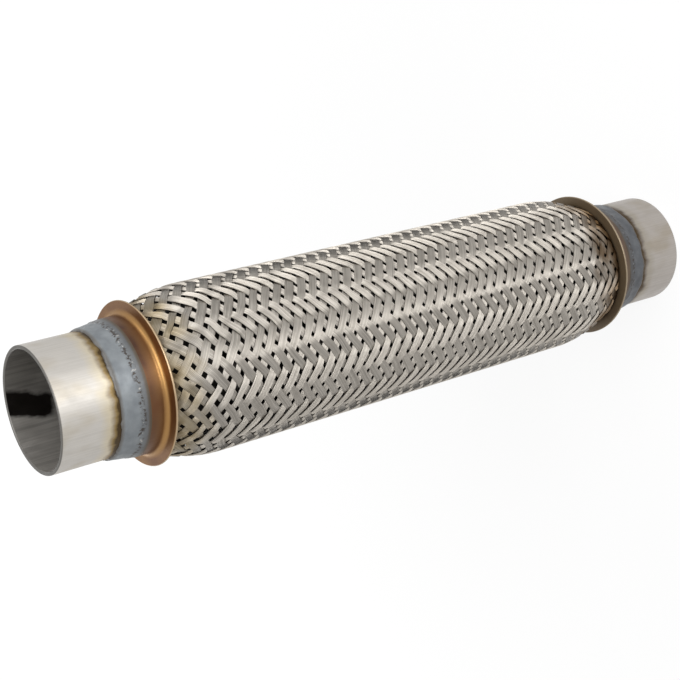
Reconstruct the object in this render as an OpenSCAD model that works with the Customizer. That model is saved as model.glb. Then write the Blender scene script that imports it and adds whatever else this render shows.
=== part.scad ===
// Exhaust flex pipe: a braided bellows section between two plain stub pipes.
// The pipe stands on its outlet stub, with its axis on Z and the outlet mouth at the origin.
// Both ends are alike, so each end piece is drawn once at the outlet and mirrored to the inlet.

/* [Pipe] */
// Length over both stub mouths
total_length = 325; // [290:1:420]
// Outside diameter of the stub pipes
stub_od = 50; // [42:0.5:60]
// Wall of the stub pipes
stub_wall = 1.5; // [1:0.1:2.5]
// Length of each stub, with the part that is hidden in the flexible section
stub_length = 48; // [44:0.5:60]
// How much smaller the radius of the stub's hidden end is
sizing = 0.3; // [0.3:0.02:0.5]
// Chamfer where the mouths are deburred
mouth_chamfer = 0.3; // [0.1:0.1:0.5]

/* [Weld bead] */
// Bare pipe between the mouth and the toe of the bead
bare_length = 24; // [15:0.5:28]
// Width of the bead along the pipe
bead_width = 11.3; // [6:0.1:14]
// Height of the bead just behind its toe
bead_toe_height = 1; // [0.5:0.1:1.8]
// Length over which the toe rises
bead_toe_length = 1.8; // [1:0.1:3]

/* [End cap] */
// Sheet of the end caps
cap_sheet = 1; // [0.8:0.1:1.6]
// Length of the cap from its welded edge to the back of its brim
cap_length = 8.2; // [6:0.1:12]
// How far the brim's edge lies inside the braid's outside
brim_inset = 1.5; // [0.5:0.1:3]
// Radius in the corner between collar and brim, as a share of the brim's height
corner_share = 0.36; // [0.2:0.02:0.5]

/* [Braid] */
// Outside diameter of the braid
braid_od = 69; // [66:0.5:80]
// Number of strands, half of them wound each way
carriers = 48; // [32:8:64]
// How far a gap between the strands lies below the crossings
gap_depth = 0.5; // [0.3:0.05:0.8]
// Thickness of the braided wall, from the top of a crossing to the inside
braid_wall = 1.5; // [1.4:0.1:1.8]
// Thickness of the braid where it is pressed flat under a cap
tuck_wall = 0.75; // [0.6:0.05:1]
// Thickness of the braid where its strands crowd together behind a brim
crowd_wall = 2; // [1.6:0.1:2.4]
// Distance along the pipe between strands of one hand
strand_pitch = 5.6; // [4.5:0.02:7]
// Length by which the strands spread towards each cap
strand_spread = 4.55; // [3:0.05:6]
// Length over which the braid swells from the cap to its full diameter
shoulder_length = 26; // [20:0.5:32]
// Opening of the shoulder gaps, as a share of the way to the next crossing
gap_share = 0.3; // [0.2:0.02:0.4]

/* [Bellows] */
// Sheet of the bellows
bellows_sheet = 0.4; // [0.3:0.05:0.5]
// Distance between convolutions
convolution_pitch = 8; // [6:0.5:12]
// Height of the bend at a crest or root, as a share of the convolution's height
bend_share = 0.28; // [0.2:0.02:0.4]

/* [Liner] */
// Radial height of the interlocked strip
liner_wall = 0.9; // [0.8:0.05:1]
// Thickness of the strip
strip_sheet = 0.35; // [0.25:0.05:0.4]
// Distance between turns of the strip
liner_pitch = 6; // [5:0.5:9]

/* [Fits] */
// Clearance between the layers that are pressed together under a cap
layer_gap = 0.1; // [0.05:0.01:0.2]
// Clearance between the crests of the bellows and the braid
crest_gap = 0.3; // [0.2:0.1:0.6]

/* [Hidden] */
$fn = 96;

// Layers under a cap, from the stub outwards
stub_r = stub_od/2;
bore_r = stub_r - stub_wall;
sized_r = stub_r - sizing;
cuff_ri = stub_r + layer_gap;
cuff_ro = cuff_ri + bellows_sheet;
tuck_ri = cuff_ro + layer_gap;
tuck_ro = tuck_ri + tuck_wall;
collar_ri = tuck_ro + layer_gap;
collar_ro = collar_ri + cap_sheet;
brim_r = braid_od/2 - brim_inset;
brim_corner = corner_share*(brim_r - collar_ro);

// Places along the pipe, measured from a mouth
seam_z = bare_length + bead_width;
cap_back_z = seam_z + cap_length;
shoulder_end_z = cap_back_z + shoulder_length;
// Centre of the bend from collar to brim
bend_r = collar_ro + brim_corner;
bend_z = cap_back_z - cap_sheet - brim_corner;

// One end piece, drawn at the outlet, and its mirror image at the inlet
module at_outlet() { children(); }
module at_inlet() { translate([0, 0, total_length]) mirror([0, 0, 1]) children(); }

// Points of a bend about a centre, with its radial and axial radius, from one angle to another
function bend(centre, radii, from, to, steps) =
    [for (i = [0:steps]) let (a = from + (to - from)*i/steps) centre + [radii[0]*cos(a), radii[1]*sin(a)]];
function after_first(points) = [for (i = [1:len(points) - 1]) points[i]];

// Stub pipe: plain tube with deburred mouth edges, sized down where it enters the flexible section
module stub_pipe() {
    color("#c4c1bb") rotate_extrude() polygon([
        [bore_r + mouth_chamfer, 0], [stub_r - mouth_chamfer, 0], [stub_r, mouth_chamfer],
        [stub_r, bare_length], [sized_r, bare_length],
        [sized_r, stub_length], [bore_r, stub_length], [bore_r, mouth_chamfer]]);
}

// Weld bead: a broad run that climbs from the stub to the edge of the cap
bead_steps = 8;
bead_top = collar_ro - stub_r;
function bead_height(x) =
    x < bead_toe_length
        ? bead_toe_height*sin(90*x/bead_toe_length)
        : bead_toe_height + (bead_top - bead_toe_height)
            *pow((x - bead_toe_length)/(bead_width - bead_toe_length), 1.3);
module weld_bead() {
    toe = [for (i = [0:bead_steps]) bead_toe_length*i/bead_steps];
    run = [for (i = [1:bead_steps]) bead_toe_length + (bead_width - bead_toe_length)*i/bead_steps];
    face = [for (x = concat(toe, run)) [stub_r + bead_height(x), bare_length + x]];
    color("#7c838a") rotate_extrude() polygon(concat(face, [[sized_r, seam_z], [sized_r, bare_length]]));
}

// End cap: a collar that turns out into a flat brim with a rounded rim
module cap_section() {
    rim_r = brim_r - cap_sheet/2;
    translate([collar_ri, seam_z]) square([cap_sheet, bend_z - seam_z]);
    translate([bend_r, bend_z]) intersection() {
        difference() {
            circle(brim_corner + cap_sheet);
            circle(brim_corner);
        }
        translate([-brim_corner - cap_sheet, 0]) square(brim_corner + cap_sheet);
    }
    translate([bend_r, cap_back_z - cap_sheet]) square([rim_r - bend_r, cap_sheet]);
    translate([rim_r, cap_back_z - cap_sheet/2]) circle(d = cap_sheet);
}
module end_cap() {
    color("#8d5f3a") rotate_extrude() cap_section();
}

// Outer braid: strands cross two over and two under. The wall is a grid with a row of points for each
// line of crossings and a ring for each half pitch. Crossings stand high and the gaps between them lie
// low, and a ridge joins the two crossings of every float. Round the shoulders, where the strands
// spread, every fourth gap is open.
rows = carriers;
row_step = 360/rows;
braid_length = total_length - 2*cap_back_z;
last_ring = 2*round((braid_length - 2*strand_spread)/strand_pitch);
spread_rings = 7;
gap_rings = 5;
gap_zone = 2*gap_rings;

function spread(ring) = strand_spread*(1 - exp(-ring/spread_rings));
function run(ring) = strand_pitch/2*ring + spread(ring) - spread(last_ring - ring) + spread(last_ring);
function ring_z(ring) = cap_back_z + run(ring)*braid_length/run(last_ring);
// The pressed end follows the bend of the cap, from the collar to the plane of the brim's back
flare_steps = 4;
flare_bend = bend_r - tuck_ro;
flare_angle = asin((cap_back_z - bend_z)/flare_bend);
flare_r = bend_r - flare_bend*cos(flare_angle);
tuck_path = concat([[tuck_ro, seam_z]],
    bend([bend_r, bend_z], [flare_bend, flare_bend], 180, 180 - flare_angle*(1 - 1/flare_steps), flare_steps - 1));
tuck_rings = len(tuck_path);
// How far the braid has swelled at a height: 0 at the caps and 1 at its full diameter
function swell(z) =
    let (x = (min(z, total_length - z) - cap_back_z)/shoulder_length)
    x >= 1 ? 1 : x <= 0 ? 0 : sin(90*x);
function braid_r(z) = flare_r + (braid_od/2 - flare_r)*swell(z);
function wall_at(z) = crowd_wall + (braid_wall - crowd_wall)*swell(z);
// The inside has half as many sides, and is drawn about its circle so that the layers below stay clear
function inside_r(z) = (braid_r(z) - wall_at(z))/cos(row_step);
function is_crossing(row, ring) = (row + ring) % 2 == 0;
// A gap lies low, but not in the pressed ends
function dimple(row, ring) =
    is_crossing(row, ring) ? 0 : gap_depth*min(1, min(ring, last_ring - ring)/2);
function on_ring(radius, row, z) = [radius*cos(row*row_step), radius*sin(row*row_step), z];
function outside_point(row, ring) = on_ring(braid_r(ring_z(ring)) - dimple(row, ring), row, ring_z(ring));

// An open gap, by its own number from 0, or -1 where the wall is closed
function gap_tier(ring) =
    ring >= 2 && ring <= gap_zone ? ring/2 - 1
    : ring <= last_ring - 2 && ring >= last_ring - gap_zone ? gap_rings + (ring - last_ring + gap_zone)/2
    : -1;
function gap_number(row, ring) =
    row % 2 == 1 && ring % 2 == 0 && ((row - 1)/2 + ring/2) % 2 == 0 && gap_tier(ring) >= 0
        ? gap_tier(ring)*rows/4 + floor((row % rows)/4) : -1;

// Rings of the inside: two for the pressed ends, every second ring of the gap zones, and nothing between them
inside_rings = concat([for (i = [0:gap_rings + 1]) 2*i], [for (i = [0:gap_rings + 1]) last_ring - gap_zone - 2 + 2*i]);
inside_count = len(inside_rings) + 4;
pressed_z = [seam_z, bend_z + (cap_back_z - bend_z)/3];
function is_pressed(tier) = tier < 2 || tier > inside_count - 3;
function inside_z(tier) =
    tier < 2 ? pressed_z[tier]
    : tier > inside_count - 3 ? total_length - pressed_z[inside_count - 1 - tier]
    : ring_z(inside_rings[tier - 2]);

// Numbers of the points in the polyhedron
first_cut = (last_ring + 1)*rows;
first_inside = first_cut + 2*tuck_rings*rows;
first_gap = first_inside + inside_count*rows/2;
function outside_id(row, ring) = ring*rows + (row + rows) % rows;
function cut_id(end, step, row) =
    step == tuck_rings ? outside_id(row, end*last_ring) : first_cut + (end*tuck_rings + step)*rows + row % rows;
function inside_id(column, tier) = first_inside + tier*rows/2 + (column + rows/2) % (rows/2);
function gap_id(number, side, inner) = first_gap + number*8 + side + (inner ? 4 : 0);

// The four corners of an open gap lie towards the crossings: next row, next ring, row before, ring before
side_row = [1, 0, -1, 0];
side_ring = [0, 1, 0, -1];
function gap_corner(row, ring, side) =
    (1 - gap_share)*outside_point(row, ring)
    + gap_share*outside_point(row + side_row[side], ring + side_ring[side]);
function inner_corner(corner) =
    let (radius = inside_r(corner[2])/norm([corner[0], corner[1]]))
    [corner[0]*radius, corner[1]*radius, corner[2]];

braid_points = concat(
    [for (ring = [0:last_ring], row = [0:rows - 1]) outside_point(row, ring)],
    [for (end = [0, 1], at = tuck_path, row = [0:rows - 1])
        on_ring(at[0], row, end == 0 ? at[1] : total_length - at[1])],
    [for (tier = [0:inside_count - 1], column = [0:rows/2 - 1])
        on_ring(is_pressed(tier) ? tuck_ri/cos(row_step) : inside_r(inside_z(tier)), 2*column + 1, inside_z(tier))],
    [for (ring = concat([for (i = [1:gap_rings]) 2*i], [for (i = [0:gap_rings - 1]) last_ring - gap_zone + 2*i]),
          quarter = [0:rows/4 - 1],
          inner = [false, true],
          side = [0:3])
        let (row = 4*quarter + (ring % 4 == 0 ? 1 : 3),
             corner = gap_corner(row, ring, side))
        inner ? inner_corner(corner) : corner]);

// A corner of a grid cell: one point, or the two ends of the cut where the corner is an open gap.
// back and ahead are the sides of the gap that face the neighbouring corners of the cell.
function cell_corner(row, ring, back, ahead) =
    let (number = gap_number(row, ring))
    number < 0 ? [outside_id(row, ring)] : [gap_id(number, back, false), gap_id(number, ahead, false)];
function fan(loop) = [for (i = [1:len(loop) - 2]) [loop[0], loop[i], loop[i + 1]]];
function turned(loop) = [for (i = [len(loop) - 1:-1:0]) loop[i]];

// A cell is split along the ridge of a float where one lies in it, and otherwise from gap to gap
function rising_float(row, ring) = (row + ring) % 2 == 0 && row % 4 == 0;
function falling_float(row, ring) = (row + ring) % 2 == 1 && row % 4 == 2;
function cell_faces(row, ring) =
    let (a = cell_corner(row, ring, 1, 0),
         b = cell_corner(row + 1, ring, 2, 1),
         c = cell_corner(row + 1, ring + 1, 3, 2),
         d = cell_corner(row, ring + 1, 0, 3))
    (row + ring) % 2 == 0
        ? rising_float(row, ring)
            ? concat(fan(concat(a, b, c)), fan(concat(c, d, a)))
            : fan(len(b) == 1 ? concat(b, c, d, a) : concat(d, a, b, c))
        : falling_float(row, ring)
            ? concat(fan(concat(b, c, d)), fan(concat(d, a, b)))
            : fan(len(a) == 1 ? concat(a, b, c, d) : concat(c, d, a, b));

// The inside is the same kind of grid with its own, wider cells
function inside_ring(tier) = is_pressed(tier) ? -1 : inside_rings[tier - 2];
function inside_corner(column, tier, back, ahead) =
    let (number = inside_ring(tier) < 0 ? -1 : gap_number(2*(column % (rows/2)) + 1, inside_ring(tier)))
    number < 0 ? [inside_id(column, tier)] : [gap_id(number, back, true), gap_id(number, ahead, true)];
function inside_faces(column, tier) =
    let (a = inside_corner(column, tier, 1, 0),
         b = inside_corner(column + 1, tier, 2, 1),
         c = inside_corner(column + 1, tier + 1, 3, 2),
         d = inside_corner(column, tier + 1, 0, 3))
    fan(turned(len(a) == 1 ? concat(b, c, d, a) : concat(a, b, c, d)));

function gap_faces(number) =
    [for (side = [0:3], half = [0, 1])
        let (next = (side + 1) % 4)
        half == 0
            ? [gap_id(number, side, false), gap_id(number, next, false), gap_id(number, next, true)]
            : [gap_id(number, side, false), gap_id(number, next, true), gap_id(number, side, true)]];
// The pressed length under a cap, and its cut edge
function tuck_faces(end) =
    let (tier = end == 0 ? 0 : inside_count - 1,
         faces = concat(
            [for (step = [0:tuck_rings - 1], row = [0:rows - 1])
                each fan([cut_id(end, step, row), cut_id(end, step, row + 1),
                          cut_id(end, step + 1, row + 1), cut_id(end, step + 1, row)])],
            [for (column = [0:rows/2 - 1]) each [
                [inside_id(column, tier), cut_id(end, 0, 2*column + 1), cut_id(end, 0, 2*column)],
                [inside_id(column, tier), cut_id(end, 0, 2*column + 2), cut_id(end, 0, 2*column + 1)],
                [inside_id(column, tier), inside_id(column + 1, tier), cut_id(end, 0, 2*column + 2)]]]))
    end == 0 ? faces : [for (face = faces) turned(face)];

braid_faces = concat(
    [for (ring = [0:last_ring - 1], row = [0:rows - 1]) each cell_faces(row, ring)],
    [for (tier = [0:inside_count - 2], column = [0:rows/2 - 1]) each inside_faces(column, tier)],
    [for (number = [0:2*gap_rings*rows/4 - 1]) each gap_faces(number)],
    tuck_faces(0),
    tuck_faces(1));

module outer_braid() {
    color("#b7b1a8") polyhedron(points = braid_points, faces = [for (face = braid_faces) turned(face)]);
}

// Bellows: one thin sheet, with plain cuffs under the caps and round convolutions between them
bend_steps = 6;
crest_r = braid_od/2 - braid_wall - crest_gap;
convolutions = floor((total_length - 2*shoulder_end_z)/convolution_pitch) + 1;
first_crest_z = (total_length - (convolutions - 1)*convolution_pitch)/2;
function crest_z(i) = first_crest_z + i*convolution_pitch;
// One face of the sheet, from the outlet cuff to the inlet cuff, at half a sheet to either side of its middle
function bellows_face(offset) =
    let (middle = [bend_share*(crest_r - cuff_ri - bellows_sheet), convolution_pitch/4],
         outer_bend = middle + [offset, offset],
         inner_bend = middle - [offset, offset],
         cuff = cuff_ri + bellows_sheet/2 + offset,
         top = crest_r - bellows_sheet/2 - middle[0],
         foot = cuff_ri + bellows_sheet/2 + middle[0])
    concat(
        [[cuff, seam_z], [cuff, crest_z(0) - convolution_pitch/2]],
        [for (i = [0:convolutions - 1]) each concat(
            after_first(bend([foot, crest_z(i) - convolution_pitch/2], inner_bend, 180, 90, bend_steps)),
            bend([top, crest_z(i)], outer_bend, -90, 90, 2*bend_steps),
            bend([foot, crest_z(i) + convolution_pitch/2], inner_bend, 270, 180, bend_steps))],
        [[cuff, total_length - seam_z]]);
module bellows() {
    color("#a9a7a2") rotate_extrude()
        polygon(concat(bellows_face(bellows_sheet/2), turned(bellows_face(-bellows_sheet/2))));
}

// Interlock liner: a strip wound in hooked turns, which carries the gas past the bellows
liner_length = total_length - 2*stub_length;
turns = floor(liner_length/liner_pitch);
turn_step = liner_length/turns;
liner_ro = sized_r;
function liner_r(layer) = liner_ro - liner_wall + layer*(liner_wall - strip_sheet);
module interlock_liner() {
    land = turn_step/2;
    outer = [for (i = [0:turns - 1]) each [
        [liner_r(0) + strip_sheet, stub_length + i*turn_step],
        [liner_r(0) + strip_sheet, stub_length + i*turn_step + land - strip_sheet],
        [liner_r(1) + strip_sheet, stub_length + i*turn_step + land - strip_sheet],
        [liner_r(1) + strip_sheet, stub_length + (i + 1)*turn_step]]];
    inner = [for (i = [0:turns - 1]) each [
        [liner_r(0), stub_length + i*turn_step],
        [liner_r(0), stub_length + i*turn_step + land],
        [liner_r(1), stub_length + i*turn_step + land],
        [liner_r(1), stub_length + (i + 1)*turn_step - strip_sheet],
        [liner_r(0), stub_length + (i + 1)*turn_step - strip_sheet]]];
    end = [[liner_r(0), total_length - stub_length]];
    color("#9b9893") rotate_extrude() polygon(concat(outer, end, turned(inner)));
}

at_inlet() stub_pipe();  // inlet_stub_pipe
at_outlet() stub_pipe();  // outlet_stub_pipe
at_inlet() weld_bead();  // inlet_weld_bead
at_outlet() weld_bead();  // outlet_weld_bead
at_inlet() end_cap();  // inlet_end_cap
at_outlet() end_cap();  // outlet_end_cap
outer_braid();
bellows();
interlock_liner();
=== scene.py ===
"""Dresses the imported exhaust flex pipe: woven braid, weld beads, heat tints and a white studio."""
import math

import bpy
import numpy as np
from mathutils import Matrix, Vector, noise


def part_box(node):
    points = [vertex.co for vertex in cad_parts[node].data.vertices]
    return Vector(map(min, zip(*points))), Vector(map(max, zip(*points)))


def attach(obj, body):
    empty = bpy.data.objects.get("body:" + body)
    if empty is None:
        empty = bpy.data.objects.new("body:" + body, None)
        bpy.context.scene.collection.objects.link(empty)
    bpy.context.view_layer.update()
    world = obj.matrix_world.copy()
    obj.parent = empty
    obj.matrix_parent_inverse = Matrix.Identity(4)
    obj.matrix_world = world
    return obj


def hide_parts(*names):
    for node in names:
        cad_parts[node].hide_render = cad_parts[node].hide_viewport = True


bl_info = {
    "name": "Exhaust Flex Pipe",
    "version": (1, 0, 0),
    "blender": (4, 5, 0),
    "location": "View3D > Sidebar > Flex Pipe",
    "description": "Weaves the braid, lays the weld beads and tints the steel of an exhaust flex pipe",
    "category": "Object",
}

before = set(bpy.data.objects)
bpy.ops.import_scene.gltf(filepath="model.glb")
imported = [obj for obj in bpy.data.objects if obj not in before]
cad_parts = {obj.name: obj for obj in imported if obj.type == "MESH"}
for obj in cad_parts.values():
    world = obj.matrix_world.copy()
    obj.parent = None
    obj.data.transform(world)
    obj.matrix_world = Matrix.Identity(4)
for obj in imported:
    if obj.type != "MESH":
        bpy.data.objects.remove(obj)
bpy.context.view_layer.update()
MM = 0.001
BODY = "root"


def span(node, axis):
    """Lowest and highest place of a CAD node along one axis, in millimetres."""
    low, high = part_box(node)
    return low[axis]/MM, high[axis]/MM


# Sizes that the CAD solids give, in millimetres
LENGTH = span("inlet_stub_pipe", 2)[1]
STUB_R = span("outlet_stub_pipe", 0)[1]
TOE_Z, SEAM_Z = span("outlet_weld_bead", 2)
COLLAR_R = span("outlet_weld_bead", 0)[1]
CAP_BACK_Z = span("outlet_end_cap", 2)[1]
BRIM_R = span("outlet_end_cap", 0)[1]
BRAID_R = span("outer_braid", 0)[1]
BRAID_TOP_Z = LENGTH - CAP_BACK_Z
# Sizes that lie inside the solids, as the source names them
TUCK_R = 26.35
FLARE_BEND, FLARE_RISE = 3.098, 2.998
FLARE_R = TUCK_R + FLARE_BEND - math.sqrt(FLARE_BEND**2 - FLARE_RISE**2)
SHOULDER = 26
CARRIERS = 48
RINGS = 82


def linear(code):
    """An sRGB hex colour as the linear values that Blender's sockets hold."""
    parts = [int(code[i:i + 2], 16)/255 for i in (1, 3, 5)]
    return tuple(c/12.92 if c <= 0.04045 else ((c + 0.055)/1.055)**2.4 for c in parts)


def colour(name, text, code):
    """A colour that the panel lists."""
    return bpy.props.FloatVectorProperty(
        name=name, description=text, subtype="COLOR", size=3, min=0, max=1, default=linear(code))


def length(name, text, size):
    """A size in millimetres that the panel lists."""
    return bpy.props.FloatProperty(
        name=name, description=text, subtype="DISTANCE", unit="LENGTH", min=0, default=size*MM)


class FlexPipeSizes(bpy.types.PropertyGroup):
    """Sizes of the braid and the weld beads."""
    wire: length("Wire", "Diameter of one braid wire", 0.48)
    strand: length("Strand", "Width of a strand of wires lying side by side", 3.22)
    stray: length("Stray", "How far strands wander from their even places", 0.16)
    toe_wander: length("Toe wander", "How far the toe of a weld bead wavers along the pipe", 1.1)
    slag_height: length("Slag height", "Height of the slag crust on a weld bead", 0.22)


class FlexPipeFinishes(bpy.types.PropertyGroup):
    """Colours of the steel and of its heat tints."""
    tube: colour("Tube", "Bright stainless tube", "#C0BCB6")
    tube_dull: colour("Tube dull", "Streaks drawn along the tube", "#B9B5AF")
    far_tube: colour("Far tube", "Duller tube of the outlet", "#AFA9A3")
    far_tube_dull: colour("Far tube dull", "Streaks drawn along the outlet tube", "#A6A09A")
    bore: colour("Bore", "Smooth inside of the tube", "#B9B5AF")
    # The next colour is the black of the painted dark reflection inside the inlet; the dark streaks in both
    # bores use it too
    reflection_black: colour("Burn", "Black mark inside the inlet, and dark streaks in the bores", "#1B1714")
    cut: colour("Cut", "Cut edge of the tube", "#6A6864")
    straw: colour("Straw", "Palest heat tint", "#CDBB8C")
    gold: colour("Gold", "Heat tint beside the weld", "#836D40")
    scorch: colour("Scorch", "Darkest heat tint at the toe of the weld", "#4A3C29")
    weld: colour("Weld", "Blue-grey oxide on the weld", "#7F8487")
    weld_dark: colour("Weld dark", "Darker oxide on the weld", "#6F7478")
    slag: colour("Slag", "Dark slag on the weld", "#3B342F")
    copper: colour("Copper", "Heat-tinted cap", "#6F4D34")
    # Bronze tints the inlet cap at random, and is also its painted highlight in the corner fillet
    bronze_tint_and_highlight: colour("Bronze", "Golden tint in the cap's corner", "#A07B4C")
    plum: colour("Plum", "Purple-brown tint beside the weld", "#543E34")
    far_cap: colour("Far cap", "Olive-brown tint of the outlet cap", "#6C5D48")
    far_corner: colour("Far corner", "Tint in the corner of the outlet cap", "#6B5B48")
    far_rim: colour("Far rim", "Dull edge of the outlet cap", "#8F806A")
    haze: colour("Haze", "Olive heat tint on the outlet tube", "#8A8169")
    far_weld: colour("Far weld", "Darker oxide on the outlet weld", "#5B5E62")
    far_weld_dark: colour("Far weld dark", "Darkest oxide on the outlet weld", "#4C4E52")
    rim: colour("Rim", "Bare cut edge of the inlet cap", "#AC977B")
    wire: colour("Wire", "Drawn stainless wire", "#D6D0C7")
    wire_dull: colour("Wire dull", "Duller wires of a strand", "#B4AEA5")
    burnt: colour("Burnt wire", "Wire that the outlet's weld has browned", "#64492F")
    # The valley colour is painted shade between the wires of a strand
    valley: colour("Valley", "Shade between the wires of a strand", "#3F3C39")
    # The bellows' two colours below are painted near-black, as painted shade seen through the braid's gaps
    # and in the bore
    dark_mottle: colour("Dust", "Dust on the bellows sheet", "#272422")
    sheet: colour("Sheet", "Thin bellows sheet", "#33312F")


def deselect():
    """Leaves edit mode and deselects every object."""
    if bpy.context.mode != "OBJECT":
        bpy.ops.object.mode_set(mode="OBJECT")
    bpy.ops.object.select_all(action="DESELECT")


def take(piece):
    """Makes one object the only selected and active one."""
    deselect()
    piece.select_set(True)
    bpy.context.view_layer.objects.active = piece


def points_of(mesh):
    """The places of a mesh's points, one row each."""
    flat = np.empty(len(mesh.vertices)*3, np.float32)
    mesh.vertices.foreach_get("co", flat)
    return flat.reshape(-1, 3).astype(float)


def set_points(mesh, points):
    """Moves a mesh's points."""
    mesh.vertices.foreach_set("co", np.asarray(points, np.float32).ravel())
    mesh.update()


def corner_points(mesh):
    """The number of the point at each corner of a mesh's faces."""
    corner = np.empty(len(mesh.loops), np.int32)
    mesh.loops.foreach_get("vertex_index", corner)
    return corner


def fill(tree, node, inputs):
    """Links or sets the inputs of a node."""
    for name, value in inputs.items():
        socket = node.inputs[name]
        if isinstance(value, bpy.types.NodeSocket):
            tree.links.new(value, socket)
        elif socket.type == "RGBA":
            socket.default_value = (*value, 1)
        else:
            socket.default_value = value


def add(tree, kind, inputs=None, **settings):
    """Adds a node, sets its properties, fills or links its inputs, and gives its outputs."""
    made = tree.nodes.new(kind)
    for name, value in settings.items():
        setattr(made, name, value)
    fill(tree, made, inputs or {})
    return made.outputs


# Sockets of a Mix node for colours, whose names its other sockets share
FACTOR, UNDER, OVER, MIXED = 0, 6, 7, 2
# The span in which most values of a noise lie
NOISE_SPAN = {"From Min": 0.3, "From Max": 0.7}


def new_material(name):
    """A material with its node tree and its shader."""
    material = bpy.data.materials.new(name)
    material.use_nodes = True
    tree = material.node_tree
    return material, tree, tree.nodes["Principled BSDF"]


def from_mouth(tree, spot):
    """Distance from the nearer mouth of the pipe, in millimetres."""
    height = add(tree, "ShaderNodeSeparateXYZ", {0: spot})["Z"]
    off = add(tree, "ShaderNodeMath", {0: height, 1: LENGTH*MM/2}, operation="SUBTRACT")[0]
    off = add(tree, "ShaderNodeMath", {0: off}, operation="ABSOLUTE")[0]
    return add(tree, "ShaderNodeMath", {0: off, 1: -1/MM, 2: LENGTH/2}, operation="MULTIPLY_ADD")[0]


def from_axis(tree, spot):
    """Distance from the axis of the pipe, in millimetres."""
    flat = add(tree, "ShaderNodeVectorMath", {0: spot, 1: (1, 1, 0)}, operation="MULTIPLY")["Vector"]
    away = add(tree, "ShaderNodeVectorMath", {0: flat}, operation="LENGTH")["Value"]
    return add(tree, "ShaderNodeMath", {0: away, 1: 1/MM}, operation="MULTIPLY")[0]


def grain(tree, spot, across, along, detail=3.0):
    """Noise whose grains have the given sizes across and along the pipe, in millimetres."""
    scale = (1/(across*MM), 1/(across*MM), 1/(along*MM))
    sized = add(tree, "ShaderNodeMapping", {"Vector": spot, "Scale": scale})[0]
    return add(tree, "ShaderNodeTexNoise", {"Vector": sized, "Scale": 1.0, "Detail": detail})["Fac"]


# Depths under the tube's outside between which its finish changes to that of the bore, in millimetres
BORE_EDGE = (1.1, 1.3)
# How far the weld's heat colours the tube, from the toe outwards, in millimetres
HEAT_REACH = 9
# Painted dark reflection inside the inlet, laid as a black patch: its middle, half sizes and turn, in
# millimetres and degrees
REFLECTION_AT = (-1.8, 23.4, LENGTH - 6.5)
REFLECTION_SIZE = (4.4, 9.0, 13.0)
REFLECTION_TURN = (0, 16.4, 13.2)


def heat_bands(tree, steel, near, stops):
    """Lays heat bands over the steel, by (place, colour, cover) stops from the bare tube to the toe."""
    reach = add(tree, "ShaderNodeMapRange", {
        "Value": near, "From Min": TOE_Z - HEAT_REACH, "From Max": TOE_Z + 1})[0]
    bands = add(tree, "ShaderNodeValToRGB", {"Fac": reach})
    marks = bands["Color"].node.color_ramp.elements
    while len(marks) < len(stops):
        marks.new(1)
    for mark, (place, shade, cover) in zip(marks, stops):
        mark.position = place
        mark.color = (*shade, cover)
    return add(tree, "ShaderNodeMix", {FACTOR: bands["Alpha"], UNDER: steel, OVER: bands["Color"]},
               data_type="RGBA")[MIXED]


def dark_reflection_patch(tree, steel, spot, ragged, inside, black):
    """Paints a dark reflection into the bore: a black patch with blunt, ragged ends, and painted shade on
    the wall at one side of it.
    """
    patch = add(tree, "ShaderNodeMapping", {
        "Vector": spot, "Location": tuple(c*MM for c in REFLECTION_AT), "Scale": tuple(c*MM for c in REFLECTION_SIZE),
        "Rotation": tuple(math.radians(c) for c in REFLECTION_TURN)}, vector_type="TEXTURE")[0]
    beside = add(tree, "ShaderNodeSeparateXYZ", {0: patch})["X"]
    # Painted shade darkens the bore wall on one side of the patch
    side_shade = add(tree, "ShaderNodeMapRange", {
        "Value": beside, "From Min": -0.5, "From Max": 1.6, "To Max": 0.35})[0]
    side_shade = add(tree, "ShaderNodeMath", {0: side_shade, 1: inside}, operation="MULTIPLY")[0]
    steel = add(tree, "ShaderNodeMix", {FACTOR: side_shade, UNDER: steel, OVER: black}, data_type="RGBA")[MIXED]
    sides = add(tree, "ShaderNodeVectorMath", {0: patch}, operation="ABSOLUTE")["Vector"]
    sides = add(tree, "ShaderNodeSeparateXYZ", {0: sides})
    out = add(tree, "ShaderNodeMath", {0: sides["X"], 1: sides["Z"], 2: 0.5}, operation="SMOOTH_MAX")[0]
    out = add(tree, "ShaderNodeMath", {0: out, 1: sides["Y"]}, operation="MAXIMUM")[0]
    fray = add(tree, "ShaderNodeMapRange", {
        "Value": ragged, **NOISE_SPAN, "To Min": -0.22, "To Max": 0.22})[0]
    out = add(tree, "ShaderNodeMath", {0: out, 1: fray}, operation="ADD")[0]
    reflection_black = add(tree, "ShaderNodeMapRange", {"Value": out, "From Min": 1.22, "From Max": 0.84})[0]
    reflection_black = add(tree, "ShaderNodeMath", {0: reflection_black, 1: inside}, operation="MULTIPLY")[0]
    return add(tree, "ShaderNodeMix", {FACTOR: reflection_black, UNDER: steel, OVER: black}, data_type="RGBA")[MIXED]


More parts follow.
